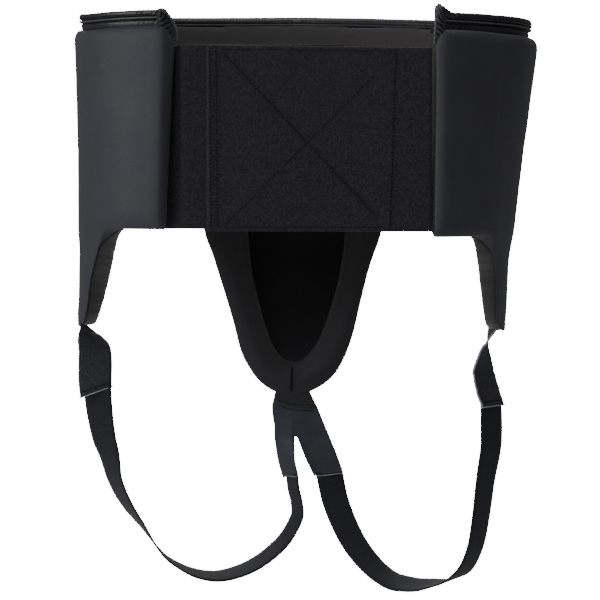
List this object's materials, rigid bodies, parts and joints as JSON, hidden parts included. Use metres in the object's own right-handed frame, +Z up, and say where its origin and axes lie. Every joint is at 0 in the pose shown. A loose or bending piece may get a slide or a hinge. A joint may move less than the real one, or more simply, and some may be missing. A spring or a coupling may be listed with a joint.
{
  "type": "groin protector",
  "caption": "Padded groin protector for boxing and martial arts: belly and hip pads, cup, hook-and-loop rear belt and elastic leg straps.",
  "frame": {"origin": "centre of the waist opening, at mid-height of the closed rear belt", "axes": "+Z up along the waist opening, +Y towards the wearer's belly, +X towards the wearer's right"},
  "size_m": [0.394, 0.2682, 0.52],
  "materials": {
    "outer_leather": "matte",
    "binding_leather": "satin",
    "lining_microfibre": "matte",
    "pad_foam": "matte",
    "cup_shell_plastic": "matte",
    "elastic_webbing": "matte",
    "hook_and_loop": "matte",
    "tab_leather": "matte",
    "strap_webbing": "matte"
  },
  "bodies": {
    "front_pad": {"belly_cover": "outer_leather", "belly_foam": "pad_foam", "belly_lining": "lining_microfibre", "belly_collar": "binding_leather", "front_piping": "binding_leather", "cup_cover": "outer_leather", "left_cup_foam": "pad_foam", "right_cup_foam": "pad_foam", "cup_shell": "cup_shell_plastic", "cup_lining": "lining_microfibre", "cup_rim": "lining_microfibre", "crotch_tab": "tab_leather", "left_hip_cover": "outer_leather", "left_hip_foam": "pad_foam", "left_hip_lining": "lining_microfibre", "left_hip_collar": "binding_leather", "left_hip_tab": "tab_leather", "right_hip_cover": "outer_leather", "right_hip_foam": "pad_foam", "right_hip_lining": "lining_microfibre", "right_hip_collar": "binding_leather", "right_hip_tab": "tab_leather"},
    "left_wing": {"left_wing_cover": "outer_leather", "left_wing_foam": "pad_foam", "left_wing_lining": "lining_microfibre", "left_wing_collar": "binding_leather", "left_wing_piping": "binding_leather"},
    "right_wing": {"right_wing_cover": "outer_leather", "right_wing_foam": "pad_foam", "right_wing_lining": "lining_microfibre", "right_wing_collar": "binding_leather", "right_wing_piping": "binding_leather"},
    "closure_flap": {"flap_elastic": "elastic_webbing", "flap_hem": "elastic_webbing", "hook_patch": "hook_and_loop"},
    "left_band": {"band_elastic": "elastic_webbing", "loop_patch": "hook_and_loop"},
    "left_strap": {"left_leg_strap": "strap_webbing"},
    "right_strap": {"right_leg_strap": "strap_webbing"}
  },
  "joints": [
    {"name": "right_wing_bend", "type": "hinge", "parent": "front_pad", "child": "right_wing", "pos_m": [0.16616, -0.074, 0], "axis": [0, 0, 1], "range_deg": [0, 27.5]},
    {"name": "left_wing_bend", "type": "hinge", "parent": "front_pad", "child": "left_wing", "pos_m": [-0.16616, -0.074, 0], "axis": [0, 0, -1], "range_deg": [0, 27.5]},
    {"name": "flap_open", "type": "hinge", "parent": "right_wing", "child": "closure_flap", "pos_m": [0.1176, -0.103, 0], "axis": [0, 0, 1], "range_deg": [0, 110]},
    {"name": "left_band_bend", "type": "hinge", "parent": "left_wing", "child": "left_band", "pos_m": [-0.116, -0.098, 0], "axis": [0, 0, -1], "range_deg": [0, 22]},
    {"name": "left_strap_swing", "type": "hinge", "parent": "front_pad", "child": "left_strap", "pos_m": [-0.176, -0.02, -0.22], "axis": [0.7649, 0.5099, -0.3936], "range_deg": [-25, 25]},
    {"name": "right_strap_swing", "type": "hinge", "parent": "front_pad", "child": "right_strap", "pos_m": [0.171, -0.02, -0.234], "axis": [-0.7172, 0.5798, -0.3866], "range_deg": [-25, 25]}
  ],
  "couplings": [
    {"joint": "right_wing_bend", "follows": "flap_open", "ratio": 0.25},
    {"joint": "left_wing_bend", "follows": "flap_open", "ratio": 0.25},
    {"joint": "left_band_bend", "follows": "flap_open", "ratio": 0.2}
  ]
}
